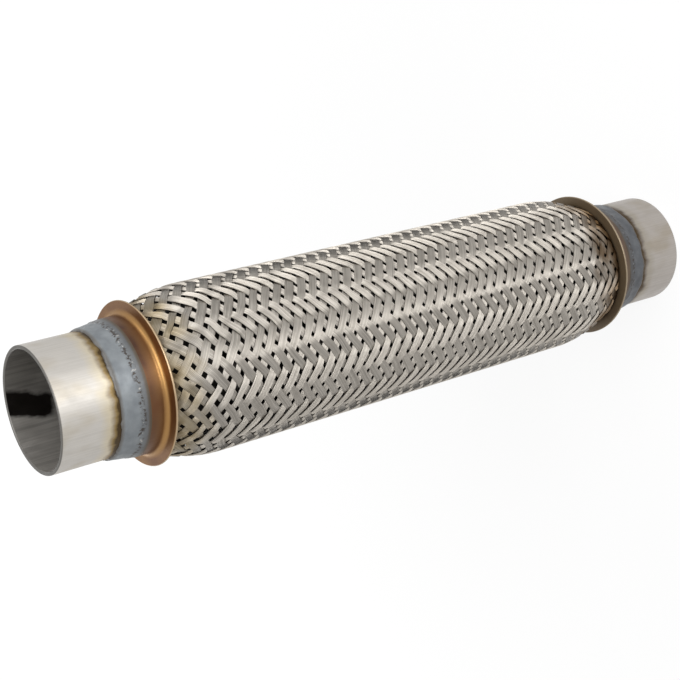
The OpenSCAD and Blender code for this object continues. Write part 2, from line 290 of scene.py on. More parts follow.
def stub_steel(finish, name, bright, dull, pale, tint, shine, with_reflection_patch):
    """Welded stainless tube, drawn and polished lengthwise: satin, with faint streaks along it.
    The weld's heat leaves pale, golden and brown bands on it, and its bore is smoother and streaked."""
    material, tree, shader = new_material(name)
    spot = add(tree, "ShaderNodeTexCoord")["Object"]
    inward = from_mouth(tree, spot)
    streaks = grain(tree, spot, across=0.5, along=30)
    share = add(tree, "ShaderNodeMapRange", {"Value": streaks, **NOISE_SPAN})[0]
    steel = add(tree, "ShaderNodeMix", {FACTOR: share, UNDER: dull, OVER: bright}, data_type="RGBA")[MIXED]
    bloom = add(tree, "ShaderNodeMapRange", {
        "Value": grain(tree, spot, across=9, along=16, detail=2.0),
        "From Min": 0.5, "From Max": 0.72, "To Max": 0.28})[0]
    steel = add(tree, "ShaderNodeMix", {FACTOR: bloom, UNDER: steel, OVER: finish.straw},
                data_type="RGBA", blend_type="MULTIPLY")[MIXED]
    ragged = grain(tree, spot, across=6, along=9)
    swing = add(tree, "ShaderNodeMapRange", {
        "Value": ragged, **NOISE_SPAN, "To Min": -1.3, "To Max": 1.3})[0]
    near = add(tree, "ShaderNodeMath", {0: inward, 1: swing}, operation="ADD")[0]
    steel = heat_bands(tree, steel, near, (
        (0.0, pale, 0.0), (0.44, pale, 0.35), (0.6, tint, 0.55),
        (0.71, tint, 0.92), (0.83, finish.scorch, 1.0)))
    inside = add(tree, "ShaderNodeMapRange", {
        "Value": from_axis(tree, spot),
        "From Min": STUB_R - BORE_EDGE[0], "From Max": STUB_R - BORE_EDGE[1]})[0]
    drawn = add(tree, "ShaderNodeMapRange", {
        "Value": grain(tree, spot, across=1.2, along=40, detail=2.0),
        "From Min": 0.4, "From Max": 0.65, "To Max": 0.25})[0]
    bore = add(tree, "ShaderNodeMix", {FACTOR: drawn, UNDER: finish.bore, OVER: finish.reflection_black},
               data_type="RGBA")[MIXED]
    steel = add(tree, "ShaderNodeMix", {FACTOR: inside, UNDER: steel, OVER: bore}, data_type="RGBA")[MIXED]
    # The inlet's bore gets a painted dark reflection: a black patch
    if with_reflection_patch:
        steel = dark_reflection_patch(tree, steel, spot, ragged, inside, finish.reflection_black)
    edge = add(tree, "ShaderNodeMapRange", {"Value": inward, "From Min": 0.45, "From Max": 0.2})[0]
    steel = add(tree, "ShaderNodeMix", {FACTOR: edge, UNDER: steel, OVER: finish.cut},
                data_type="RGBA")[MIXED]
    rough = add(tree, "ShaderNodeMapRange", {
        "Value": streaks, **NOISE_SPAN, "To Min": shine + 0.02, "To Max": shine - 0.02})[0]
    rubbed = add(tree, "ShaderNodeMapRange", {
        "Value": grain(tree, spot, across=5, along=7, detail=4.0),
        "From Min": 0.35, "From Max": 0.65, "To Min": -0.06, "To Max": 0.06})[0]
    rough = add(tree, "ShaderNodeMath", {0: rough, 1: rubbed}, operation="ADD")[0]
    rough = add(tree, "ShaderNodeMath", {0: inside, 1: -0.1, 2: rough}, operation="MULTIPLY_ADD")[0]
    metal = add(tree, "ShaderNodeMapRange", {"Value": inside, "To Min": 1.0, "To Max": 0.7})[0]
    bump = add(tree, "ShaderNodeBump", {"Height": streaks, "Strength": 0.03, "Distance": 0.05*MM})[0]
    fill(tree, shader, {"Base Color": steel, "Roughness": rough, "Metallic": metal, "Normal": bump})
    return material


# Middle of the slag line, from the weld's seam with the cap outwards, in millimetres
SLAG_FROM_SEAM = 3.4


def weld_oxide(finish, name, light, dark, bare):
    """Weld metal under a blue-grey oxide: dull satin and mottled.
    It has a broken line of dark slag near the cap, and it is scorched along both of its edges."""
    material, tree, shader = new_material(name)
    spot = add(tree, "ShaderNodeTexCoord")["Object"]
    inward = from_mouth(tree, spot)
    mottle = grain(tree, spot, across=5, along=5, detail=4.0)
    share = add(tree, "ShaderNodeMapRange", {"Value": mottle, "From Min": 0.35, "From Max": 0.68})[0]
    skin = add(tree, "ShaderNodeMix", {FACTOR: share, UNDER: dark, OVER: light}, data_type="RGBA")[MIXED]
    crumbs = grain(tree, spot, across=1.1, along=1.4)
    shift = add(tree, "ShaderNodeMapRange", {
        "Value": grain(tree, spot, across=6, along=6, detail=2.0), **NOISE_SPAN,
        "To Min": -0.8, "To Max": 0.8})[0]
    line = add(tree, "ShaderNodeMath", {0: inward, 1: shift}, operation="ADD")[0]
    line = add(tree, "ShaderNodeMath", {0: line, 1: SEAM_Z - SLAG_FROM_SEAM}, operation="SUBTRACT")[0]
    line = add(tree, "ShaderNodeMath", {0: line}, operation="ABSOLUTE")[0]
    line = add(tree, "ShaderNodeMapRange", {"Value": line, "From Min": 1.5, "From Max": 0.4})[0]
    for low, high, shade in ((0.52, 0.58, finish.slag), (0.37, 0.33, bare)):
        share = add(tree, "ShaderNodeMapRange", {"Value": crumbs, "From Min": low, "From Max": high})[0]
        share = add(tree, "ShaderNodeMath", {0: share, 1: line}, operation="MULTIPLY")[0]
        skin = add(tree, "ShaderNodeMix", {FACTOR: share, UNDER: skin, OVER: shade},
                   data_type="RGBA")[MIXED]
    for low, high, cover, shade in (
            (TOE_Z + 1.2, TOE_Z + 0.2, 0.55, finish.scorch),
            (SEAM_Z - 5, SEAM_Z - 1, 0.6, finish.slag),
            (SEAM_Z - 1.4, SEAM_Z - 0.5, 0.85, finish.scorch)):
        share = add(tree, "ShaderNodeMapRange", {
            "Value": inward, "From Min": low, "From Max": high, "To Max": cover})[0]
        skin = add(tree, "ShaderNodeMix", {FACTOR: share, UNDER: skin, OVER: shade},
                   data_type="RGBA")[MIXED]
    rough = add(tree, "ShaderNodeMapRange", {
        "Value": mottle, **NOISE_SPAN, "To Min": 0.52, "To Max": 0.42})[0]
    bump = add(tree, "ShaderNodeBump", {"Height": crumbs, "Strength": 0.15, "Distance": 0.2*MM})[0]
    fill(tree, shader, {"Base Color": skin, "Metallic": 0.35, "Roughness": rough, "Normal": bump})
    return material


def cap_tint(finish, name, main, corner, rim, metal):
    """Pressed stainless sheet that the weld's heat has coloured: a satin film from purple-brown to gold,
    with the corner colour painted round the fillet as a highlight.
    """
    material, tree, shader = new_material(name)
    spot = add(tree, "ShaderNodeTexCoord")["Object"]
    inward = from_mouth(tree, spot)
    radius = from_axis(tree, spot)
    drift = grain(tree, spot, across=14, along=14)
    share = add(tree, "ShaderNodeMapRange", {"Value": drift, **NOISE_SPAN})[0]
    film = add(tree, "ShaderNodeMix", {FACTOR: share, UNDER: main, OVER: corner}, data_type="RGBA")[MIXED]
    film = add(tree, "ShaderNodeMix", {FACTOR: 0.45, UNDER: film, OVER: main}, data_type="RGBA")[MIXED]
    # Painted highlight: the corner colour laid in a band round the fillet between the collar and the brim
    golden = add(tree, "ShaderNodeMapRange", {
        "Value": radius, "From Min": COLLAR_R + 2.6, "From Max": COLLAR_R + 0.4})[0]
    fillet_highlight = add(tree, "ShaderNodeMapRange", {
        "Value": inward, "From Min": CAP_BACK_Z - 3.6, "From Max": CAP_BACK_Z - 1.4})[0]
    golden = add(tree, "ShaderNodeMath", {0: golden, 1: fillet_highlight}, operation="MULTIPLY")[0]
    film = add(tree, "ShaderNodeMix", {FACTOR: golden, UNDER: film, OVER: corner}, data_type="RGBA")[MIXED]
    heel = add(tree, "ShaderNodeMapRange", {
        "Value": inward, "From Min": CAP_BACK_Z - 2.8, "From Max": SEAM_Z + 1})[0]
    uneven = add(tree, "ShaderNodeMapRange", {
        "Value": drift, "From Min": 0.3, "From Max": 0.62, "To Min": 0.35})[0]
    heel = add(tree, "ShaderNodeMath", {0: heel, 1: uneven}, operation="MULTIPLY")[0]
    film = add(tree, "ShaderNodeMix", {FACTOR: heel, UNDER: film, OVER: finish.plum},
               data_type="RGBA")[MIXED]
    edge = add(tree, "ShaderNodeMapRange", {
        "Value": radius, "From Min": BRIM_R - 0.3, "From Max": BRIM_R - 0.12})[0]
    film = add(tree, "ShaderNodeMix", {FACTOR: edge, UNDER: film, OVER: rim}, data_type="RGBA")[MIXED]
    scuff = grain(tree, spot, across=0.6, along=6)
    rough = add(tree, "ShaderNodeMapRange", {
        "Value": scuff, **NOISE_SPAN, "To Min": 0.36, "To Max": 0.46})[0]
    bump = add(tree, "ShaderNodeBump", {"Height": scuff, "Strength": 0.08, "Distance": 0.05*MM})[0]
    fill(tree, shader, {"Base Color": film, "Metallic": metal, "Roughness": rough, "Normal": bump})
    return material


# Wires that lie side by side in a strand
WIRES = 7
# Changes of shade and of wear for each ring of crossings: about every 13 mm and every 6 mm
SHADES_A_RING = 0.22
WEAR_A_RING = 0.45
# Distance in the noise from one wire to the next, so that each has its own shade
WIRE_APART = 7.3


def wire_shades(tree, finish):
    """Colour of the wires by the strand's own map, which runs along it and across its wires.
    Gives the shade noise too, and how deep a place lies in the valley between two wires, which sets the
    painted shade there."""
    strip = add(tree, "ShaderNodeUVMap", uv_map="strand")[0]
    strip = add(tree, "ShaderNodeSeparateXYZ", {0: strip})
    across = add(tree, "ShaderNodeMath", {0: strip["Y"], 1: float(WIRES)}, operation="MULTIPLY")[0]
    which = add(tree, "ShaderNodeMath", {0: across}, operation="FLOOR")[0]
    part = add(tree, "ShaderNodeMath", {0: across}, operation="FRACT")[0]
    key = add(tree, "ShaderNodeCombineXYZ", {0: strip["X"], 1: which})[0]
    key = add(tree, "ShaderNodeMapping", {"Vector": key, "Scale": (1.0, WIRE_APART, 1.0)})[0]
    shade = add(tree, "ShaderNodeTexNoise", {"Vector": key, "Scale": SHADES_A_RING, "Detail": 3.0})["Fac"]
    share = add(tree, "ShaderNodeMapRange", {"Value": shade, "From Min": 0.32, "From Max": 0.62})[0]
    metal = add(tree, "ShaderNodeMix", {FACTOR: share, UNDER: finish.wire_dull, OVER: finish.wire},
                data_type="RGBA")[MIXED]
    along = add(tree, "ShaderNodeCombineXYZ", {0: strip["X"]})[0]
    worn = add(tree, "ShaderNodeTexNoise", {"Vector": along, "Scale": WEAR_A_RING, "Detail": 2.0})["Fac"]
    worn = add(tree, "ShaderNodeMapRange", {
        "Value": worn, "From Min": 0.5, "From Max": 0.7, "To Max": 0.5})[0]
    metal = add(tree, "ShaderNodeMix", {FACTOR: worn, UNDER: metal, OVER: finish.wire_dull},
                data_type="RGBA")[MIXED]
    valley = add(tree, "ShaderNodeMath", {0: part, 1: 0.5}, operation="SUBTRACT")[0]
    valley = add(tree, "ShaderNodeMath", {0: valley}, operation="ABSOLUTE")[0]
    valley = add(tree, "ShaderNodeMapRange", {"Value": valley, "From Min": 0.3, "From Max": 0.5})[0]
    return metal, shade, valley


def braid_wire(finish):
    """Drawn stainless wire laid side by side in strands: bright, each wire with its own shade.
    It is straw where a weld is near, and browned towards the outlet's cap. Painted shade lies in the valleys
    between the wires."""
    material, tree, shader = new_material("drawn_wire")
    spot = add(tree, "ShaderNodeTexCoord")["Object"]
    metal, shade, valley = wire_shades(tree, finish)
    height = add(tree, "ShaderNodeSeparateXYZ", {0: spot})["Z"]
    height = add(tree, "ShaderNodeMath", {0: height, 1: 1/MM}, operation="MULTIPLY")[0]
    # Painted shade in the valleys between the wires, stronger towards the inlet
    valley_shade_strength = add(tree, "ShaderNodeMapRange", {
        "Value": height, "From Min": BRAID_TOP_Z - 40, "From Max": BRAID_TOP_Z - 8,
        "To Min": 0.42, "To Max": 0.55})[0]
    valley = add(tree, "ShaderNodeMath", {0: valley, 1: valley_shade_strength}, operation="MULTIPLY")[0]
    metal = add(tree, "ShaderNodeMix", {FACTOR: valley, UNDER: metal, OVER: finish.valley},
                data_type="RGBA")[MIXED]
    fade = add(tree, "ShaderNodeMapRange", {
        "Value": grain(tree, spot, across=12, along=12), **NOISE_SPAN, "To Min": -7.0, "To Max": 7.0})[0]
    near = add(tree, "ShaderNodeMath", {0: from_mouth(tree, spot), 1: fade}, operation="ADD")[0]
    low = add(tree, "ShaderNodeMath", {0: height, 1: fade}, operation="ADD")[0]
    for place, start, end, tint, mode in (
            (near, 16, 2, finish.straw, "MULTIPLY"),
            (near, 4, -3, finish.gold, "MULTIPLY"),
            (low, 20, 7, finish.burnt, "MIX")):
        heat = add(tree, "ShaderNodeMapRange", {
            "Value": place, "From Min": CAP_BACK_Z + start, "From Max": CAP_BACK_Z + end, "To Max": 0.7})[0]
        metal = add(tree, "ShaderNodeMix", {FACTOR: heat, UNDER: metal, OVER: tint},
                    data_type="RGBA", blend_type=mode)[MIXED]
    rough = add(tree, "ShaderNodeMapRange", {
        "Value": shade, **NOISE_SPAN, "To Min": 0.64, "To Max": 0.56})[0]
    lay = add(tree, "ShaderNodeTangent", direction_type="UV_MAP", uv_map="strand")[0]
    fill(tree, shader, {"Base Color": metal, "Roughness": rough, "Metallic": 1.0, "Anisotropic": 1.0,
                        "Anisotropic Rotation": 0.25, "Tangent": lay})
    return material


def painted_shade_sheet(finish):
    """Thin rolled stainless inside the braid, seen only through the gaps: painted near-black with a darker
    mottle, as painted shade.
    """
    material, tree, shader = new_material("painted_shade_rolled_sheet")
    spot = add(tree, "ShaderNodeTexCoord")["Object"]
    # A darker mottle over the near-black sheet, all of it painted shade
    dark_mottle = grain(tree, spot, across=2, along=2, detail=4.0)
    share = add(tree, "ShaderNodeMapRange", {"Value": dark_mottle, **NOISE_SPAN, "To Max": 0.5})[0]
    steel = add(tree, "ShaderNodeMix", {FACTOR: share, UNDER: finish.sheet, OVER: finish.dark_mottle},
                data_type="RGBA")[MIXED]
    rough = add(tree, "ShaderNodeMapRange", {
        "Value": dark_mottle, **NOISE_SPAN, "To Min": 0.35, "To Max": 0.55})[0]
    fill(tree, shader, {"Base Color": steel, "Metallic": 1.0, "Roughness": rough})
    return material


def dress(piece, material):
    """Gives a piece one material all over."""
    piece.data.materials.clear()
    piece.data.materials.append(material)


class FLEXPIPE_OT_stub_pipes(bpy.types.Operator):
    """Gives the two stub pipes their drawn stainless finish with heat bands at the welds"""
    bl_idname = "flexpipe.stub_pipes"
    bl_label = "Finish Stub Pipes"

    def execute(self, context):
        finish = context.scene.flex_pipe_finishes
        # The inlet tube carries the painted dark reflection in its bore
        dress(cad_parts["inlet_stub_pipe"], stub_steel(
            finish, "drawn_tube", bright=finish.tube, dull=finish.tube_dull,
            pale=finish.straw, tint=finish.gold, shine=0.5, with_reflection_patch=True))
        dress(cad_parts["outlet_stub_pipe"], stub_steel(
            finish, "matte_tube", bright=finish.far_tube, dull=finish.far_tube_dull,
            pale=finish.haze, tint=finish.scorch, shine=0.45, with_reflection_patch=False))
        return {"FINISHED"}


class FLEXPIPE_OT_end_caps(bpy.types.Operator):
    """Colours the two end caps with the film that the weld's heat leaves, and paints a highlight into the
    inlet cap's corner
    """
    bl_idname = "flexpipe.end_caps"
    bl_label = "Tint End Caps"

    def execute(self, context):
        finish = context.scene.flex_pipe_finishes
        dress(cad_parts["inlet_end_cap"], cap_tint(
            finish, "copper_tint", main=finish.copper, corner=finish.bronze_tint_and_highlight,
            rim=finish.rim, metal=1.0))
        dress(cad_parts["outlet_end_cap"], cap_tint(
            finish, "olive_tint", main=finish.far_cap, corner=finish.far_corner,
            rim=finish.far_rim, metal=0.4))
        return {"FINISHED"}


class FLEXPIPE_OT_inner_pieces(bpy.types.Operator):
    """Gives the bellows and the liner a near-black sheet finish, painted shade for the braid's gaps and the
    bore
    """
    bl_idname = "flexpipe.inner_pieces"
    bl_label = "Finish Inner Pieces"

    def execute(self, context):
        sheet = painted_shade_sheet(context.scene.flex_pipe_finishes)
        for name in ("bellows", "interlock_liner"):
            dress(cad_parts[name], sheet)
        return {"FINISHED"}


# Weld bead: rings of the run from its toe to the cap, in millimetres from the toe
BEAD_RINGS = (0.0, 0.12, 0.4, 0.8, 1.3, 1.8, 2.5, 3.4, 4.3, 5.2, 6.0,
              6.6, 7.1, 7.5, 7.9, 8.3, 8.7, 9.2, 9.8, 10.5, 11.3)
BEAD_SIDES = 240
BEAD_WIDTH = SEAM_Z - TOE_Z
BEAD_TOE_HEIGHT = 1.0
BEAD_TOE_LENGTH = 1.8
# How far the bead's underside is sunk into the tube, and the angle in degrees above which edges stay hard
BEAD_SUNK = 0.25
BEAD_HARD_EDGE = 50
# Waves of the toe as (share, size) pairs, the even part of its wander, and the part that the waves add
TOE_WAVES = ((0.75, 9), (0.4, 3.5), (0.18, 1.4))
TOE_EVEN, TOE_WAVED = 0.55, 1.8
# Swelling of the run, and what its ends at the toe and at the cap keep free of it
SWELL_HEIGHT, SWELL_SIZE = 0.16, 5
PLAIN_TOE, PLAIN_SEAM = 0.3, 0.4
# Slag: its place and half width, how far its line wanders and over what length, and how full it lies
SLAG_FROM_TOE, SLAG_HALF_WIDTH = 7.9, 1.5
SLAG_WANDER, SLAG_WANDER_SIZE = 0.6, 4
SLAG_MORE, SLAG_GAIN = 0.1, 1.6


def bead_height(x):
    """Height of the run over the tube, as the source has it but with a blunter toe."""
    if x < BEAD_TOE_LENGTH:
        return BEAD_TOE_HEIGHT*math.sin(math.pi/2*x/BEAD_TOE_LENGTH)**0.55
    climb = (x - BEAD_TOE_LENGTH)/(BEAD_WIDTH - BEAD_TOE_LENGTH)
    return BEAD_TOE_HEIGHT + (COLLAR_R - STUB_R - BEAD_TOE_HEIGHT)*climb**1.3


def lay_bead(name, sizes, seed, at_inlet):
    """A bead drawn up ring by ring from a circle on the tube, then roughened as a hand-laid run is."""
    deselect()
    under = STUB_R - BEAD_SUNK
    bpy.ops.mesh.primitive_circle_add(vertices=BEAD_SIDES, radius=under*MM, location=(0, 0, TOE_Z*MM))
    piece = bpy.context.active_object
    piece.name = name
    bpy.ops.object.transform_apply(location=True, rotation=False, scale=False)
    bpy.ops.object.mode_set(mode="EDIT")
    bpy.ops.mesh.select_all(action="SELECT")
    at_r, at_x = under, 0.0
    steps = [(STUB_R + bead_height(x), x) for x in BEAD_RINGS] + [(under, BEAD_RINGS[-1])]
    for radius, x in steps:
        bpy.ops.mesh.extrude_region_move(TRANSFORM_OT_translate={"value": (0, 0, (x - at_x)*MM)})
        grow = radius/at_r
        bpy.ops.transform.resize(value=(grow, grow, 1), center_override=(0, 0, 0))
        at_r, at_x = radius, x
    bpy.ops.mesh.select_all(action="DESELECT")
    bpy.ops.mesh.select_mode(type="EDGE")
    bpy.ops.mesh.select_non_manifold()
    bpy.ops.mesh.bridge_edge_loops()
    bpy.ops.mesh.select_all(action="SELECT")
    bpy.ops.mesh.remove_doubles(threshold=0.001*MM)
    bpy.ops.mesh.normals_make_consistent(inside=False)
    bpy.ops.object.mode_set(mode="OBJECT")
    roughen_bead(piece.data, sizes, seed)
    if at_inlet:
        piece.data.transform(Matrix.Translation((0, 0, LENGTH*MM)) @ Matrix.Scale(-1, 4, (0, 0, 1)))
        piece.data.flip_normals()
    take(piece)
    bpy.ops.object.shade_smooth_by_angle(angle=math.radians(BEAD_HARD_EDGE))
    return piece


def roughen_bead(mesh, sizes, seed):
    """The toe wavers, the run swells and dips, and slag stands in a broken line near the cap."""
    points = points_of(mesh)/MM
    for point in points:
        x = point[2] - TOE_Z
        radius = math.hypot(point[0], point[1])
        if radius < STUB_R - 0.2:
            continue
        on_ring = Vector((point[0], point[1], seed*37.0))
        free = 1 - min(1, max(0, x)/BEAD_WIDTH)
        waver = sum(share*noise.noise(on_ring/size) for share, size in TOE_WAVES)
        point[2] -= free*free*sizes.toe_wander/MM*max(0, TOE_EVEN + TOE_WAVED*waver)
        lift = SWELL_HEIGHT*noise.noise(Vector((point[0], point[1], x*1.6 + seed*11))/SWELL_SIZE)
        crust = noise.noise(Vector((point[0]*0.9, point[1]*0.9, x*0.8 + seed*5)))
        wander = SLAG_WANDER*noise.noise(on_ring/SLAG_WANDER_SIZE)
        band = max(0, 1 - abs(x - SLAG_FROM_TOE + wander)/SLAG_HALF_WIDTH)
        lift += band*max(0, crust + SLAG_MORE)*sizes.slag_height/MM*SLAG_GAIN
        if PLAIN_TOE < x < BEAD_WIDTH - PLAIN_SEAM:
            point[0] *= (radius + lift)/radius
            point[1] *= (radius + lift)/radius
    set_points(mesh, points*MM)


class FLEXPIPE_OT_weld_beads(bpy.types.Operator):
    """Lays a weld bead with a wavering toe and slag at each end"""
    bl_idname = "flexpipe.weld_beads"
    bl_label = "Lay Weld Beads"

    def execute(self, context):
        scene = context.scene
        finish = scene.flex_pipe_finishes
        for end, seed, at_inlet, light, dark, bare in (
                ("inlet", 3, True, finish.weld, finish.weld_dark, finish.tube),
                ("outlet", 8, False, finish.far_weld, finish.far_weld_dark, finish.weld)):
            bead = lay_bead(end + "_weld_run", scene.flex_pipe_sizes, seed, at_inlet)
            dress(bead, weld_oxide(finish, end + "_weld_oxide", light, dark, bare))
            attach(bead, BODY)
            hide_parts(end + "_weld_bead")
        return {"FINISHED"}


# Braid: the strand's section has a crown and a valley for each wire on top, and a plain underside
TOP_POINTS = 2*WIRES + 1
SECTION_POINTS = TOP_POINTS + 3
VALLEY_DEPTH = 0.15
UNDERSIDE_EDGE = 0.06
# Share of the strand map's width that a strand fills, so that its edges stay in the outer wires
MAP_SHARE = 0.998
# Places of the cuts between one crossing and the next, closest where a strand dips
STEP_PLACES = np.array((0.0, 0.34, 0.5, 0.66))
STEPS_A_CROSSING = len(STEP_PLACES)
ROW = 2*math.pi/CARRIERS
# Rings of crossings: even distance, and how much wider they lie at the caps and over how many rings
EVEN_STEP = 2.80
SPREAD = 4.55
SPREAD_FADE = 7.0
# Share of a crossing in which a strand dips from over to under
DIP_SHARE = 0.24
# Strands by the inlet's cap are splayed, and a little further off they are pinched: share and reach
SPLAY, SPLAY_REACH = 0.22, 8
PINCH, PINCH_REACH = 0.08, 30
# Thickness that is left at the caps, height of a float's arch, and room between crossing strands
THIN_AT_CAP = 0.7
ARCH = 0.07
CROSSING_ROOM = 0.05


def ring_z(ring):
    """Height of a ring of crossings. The strands spread towards the caps."""
    whole = 1 - math.exp(-RINGS/SPREAD_FADE)
    spread = whole - np.exp(-ring/SPREAD_FADE) + np.exp((ring - RINGS)/SPREAD_FADE)
    full = EVEN_STEP*RINGS + 2*SPREAD*whole
    return CAP_BACK_Z + (EVEN_STEP*ring + SPREAD*spread)*(LENGTH - 2*CAP_BACK_Z)/full


def ring_climb(ring):
    """How fast the height grows from ring to ring."""
    return (ring_z(ring + 0.01) - ring_z(ring - 0.01))/0.02


def swell(z):
    """0 where the braid comes out of a cap and 1 at its full diameter."""
    away = (np.minimum(z, LENGTH - z) - CAP_BACK_Z)/SHOULDER
    return np.sin(math.pi/2*np.clip(away, 0, 1))


def braid_radius(z):
    """The braid follows the cap's bend out of the collar, and swells behind the brim."""
    rise = np.clip(np.minimum(z, LENGTH - z) - CAP_BACK_Z + FLARE_RISE, 0, FLARE_RISE)
    flare = TUCK_R + FLARE_BEND - np.sqrt(FLARE_BEND**2 - rise**2)
    return flare + (BRAID_R - FLARE_R)*swell(z)


def lean(z):
    """Slope of the braid's outline."""
    return np.clip((braid_radius(z + 0.05) - braid_radius(z - 0.05))/0.1, -1, 1)


def over_under(row):
    """1 where a rising strand lies over two others and -1 where it lies under two.
    Gives the distance from the middle of an over stretch too, in crossings."""
    away = np.abs((row - 0.5 + 2) % 4 - 2)
    return -np.sin(math.pi/2*np.clip((away - 1)/DIP_SHARE, -1, 1)), away


def strand_shape(ring, across, height, rising, number, wire):
    """Places of a strand's points on the braid, from their ring and their place in its section."""
    turn = 1 if rising else -1
    row = 2*number + turn*ring
    z = ring_z(ring)
    radius = braid_radius(z)
    stretch = np.sqrt(1 + lean(z)**2)
    climb = ring_climb(ring)*stretch
    sweep = turn*ROW*radius
    pace = np.hypot(climb, sweep)
    from_cap = BRAID_TOP_Z - z
    across = across*(1 + SPLAY*np.exp(-from_cap/SPLAY_REACH) - PINCH*np.exp(-from_cap/PINCH_REACH))
    angle = row*ROW - across*climb/pace/radius
    z = z + across*sweep/pace/stretch
    weave, away = over_under(row)
    under = (1 - weave*turn)/2
    from_float = away if rising else 2 - away
    arch = ARCH*np.clip(1 - from_float**2, 0, 1)
    thin = THIN_AT_CAP + (1 - THIN_AT_CAP)*swell(z)
    lift = thin*(height - wire/2 - under*(wire + CROSSING_ROOM) + arch - ARCH)
    tilt = np.arctan(lean(z))
    radius = braid_radius(z) + lift*np.cos(tilt)
    z = z - lift*np.sin(tilt)
    return np.stack([radius*np.cos(angle), radius*np.sin(angle), z], axis=1)


def section_place(index, wire, strand):
    """Place across the strand and height over its middle of each point of its section."""
    on_top = index < TOP_POINTS
    across = np.where(on_top, index/(TOP_POINTS - 1) - 0.5, (TOP_POINTS + 1 - index)*0.5)
    crown = np.where(index % 2 == 1, wire/2, wire/2 - VALLEY_DEPTH)
    at_edge = (index == 0) | (index == TOP_POINTS - 1)
    underside = np.where(index == TOP_POINTS + 1, 0, UNDERSIDE_EDGE) - wire/2
    return across*strand, np.where(on_top, np.where(at_edge, 0.0, crown), underside)


def cut_lengthwise(mesh, cuts):
    """Cuts every edge that runs along a tube into equal lengths."""
    bpy.ops.mesh.select_all(action="DESELECT")
    bpy.ops.object.mode_set(mode="OBJECT")
    ends = np.empty(len(mesh.edges)*2, np.int32)
    mesh.edges.foreach_get("vertices", ends)
    heights = points_of(mesh)[:, 2][ends.reshape(-1, 2)]
    mesh.edges.foreach_set("select", np.abs(heights[:, 0] - heights[:, 1]) > 0.1)
    bpy.ops.object.mode_set(mode="EDIT")
    bpy.ops.mesh.select_mode(type="EDGE")
    bpy.ops.mesh.subdivide(number_cuts=cuts)


def draw_strand(name, sizes, rising, number):
    """One strand: a tube cut into short lengths, flattened into a row of wires and wound on the braid."""
    deselect()
    crossings = RINGS + 2
    tall = crossings*STEPS_A_CROSSING
    bpy.ops.mesh.primitive_cylinder_add(
        vertices=SECTION_POINTS, radius=1, depth=tall, end_fill_type="NOTHING")
    piece = bpy.context.active_object
    piece.name = name
    mesh = piece.data
    bpy.ops.object.mode_set(mode="EDIT")
    for cuts in (crossings - 1, STEPS_A_CROSSING - 1):
        cut_lengthwise(mesh, cuts)
    bpy.ops.mesh.select_all(action="SELECT")
    bpy.ops.mesh.fill_holes(sides=0)
    bpy.ops.object.mode_set(mode="OBJECT")
    points = points_of(mesh)
    step = np.rint(points[:, 2] + tall/2).astype(int)
    turned = np.arctan2(points[:, 0], points[:, 1])/(2*math.pi)
    index = np.rint(turned*SECTION_POINTS).astype(int) % SECTION_POINTS
    ring = step//STEPS_A_CROSSING + STEP_PLACES[step % STEPS_A_CROSSING] - 1
    wire, strand = sizes.wire/MM, sizes.strand/MM
    across, height = section_place(index, wire, strand)
    set_points(mesh, strand_shape(ring, across, height, rising, number, wire)*MM)
    while mesh.uv_layers:
        mesh.uv_layers.remove(mesh.uv_layers[0])
    chart = mesh.uv_layers.new(name="strand")
    place = np.stack([ring, across/strand*MAP_SHARE + 0.5], axis=1)
    chart.data.foreach_set("uv", place[corner_points(mesh)].astype(np.float32).ravel())
    bpy.ops.object.mode_set(mode="EDIT")
    bpy.ops.mesh.select_all(action="SELECT")
    bpy.ops.mesh.normals_make_consistent(inside=False)
    bpy.ops.object.mode_set(mode="OBJECT")
    bpy.ops.object.shade_smooth()
    return piece


# Strands of one piece, and rings between them in the strand map, so that no two show the same shades
COPIES = CARRIERS//4
RINGS_A_COPY = 163.0


def wind_round(first, name):
    """Copies a strand round the pipe, twelve strands in all, and joins them."""
    ring = [first]
    for turn in range(1, COPIES):
        take(first)
        bpy.ops.object.duplicate(linked=False)
        copy = bpy.context.active_object
        copy.data.transform(Matrix.Rotation(2*math.pi*turn/COPIES, 4, "Z"))
        chart = copy.data.uv_layers["strand"]
        place = np.empty(len(chart.data)*2, np.float32)
        chart.data.foreach_get("uv", place)
        place[0::2] += turn*RINGS_A_COPY
        chart.data.foreach_set("uv", place)
        ring.append(copy)
    deselect()
    for strand in ring:
        strand.select_set(True)
    bpy.context.view_layer.objects.active = first
    bpy.ops.object.join()
    first.name = name
    return first


# Waves of straying: number round the pipe and length along it in millimetres, share of each, phases
STRAY_WAVES = ((3, 61.0), (5, 37.0), (8, 23.0), (13, 29.0), (17, 15.0))
STRAY_SHARE = 0.6
PHASES = 6.28
# Strands stray more near the inlet: how much more, and how far from the cap in millimetres
LOOSER, LOOSER_REACH = 2.3, 26
# Fanning of the wires near the inlet: rings from one draw to the next, share of the width, and reach
FAN_RINGS = 3.0
FAN_SHARE = 0.4
FAN_REACH = 22


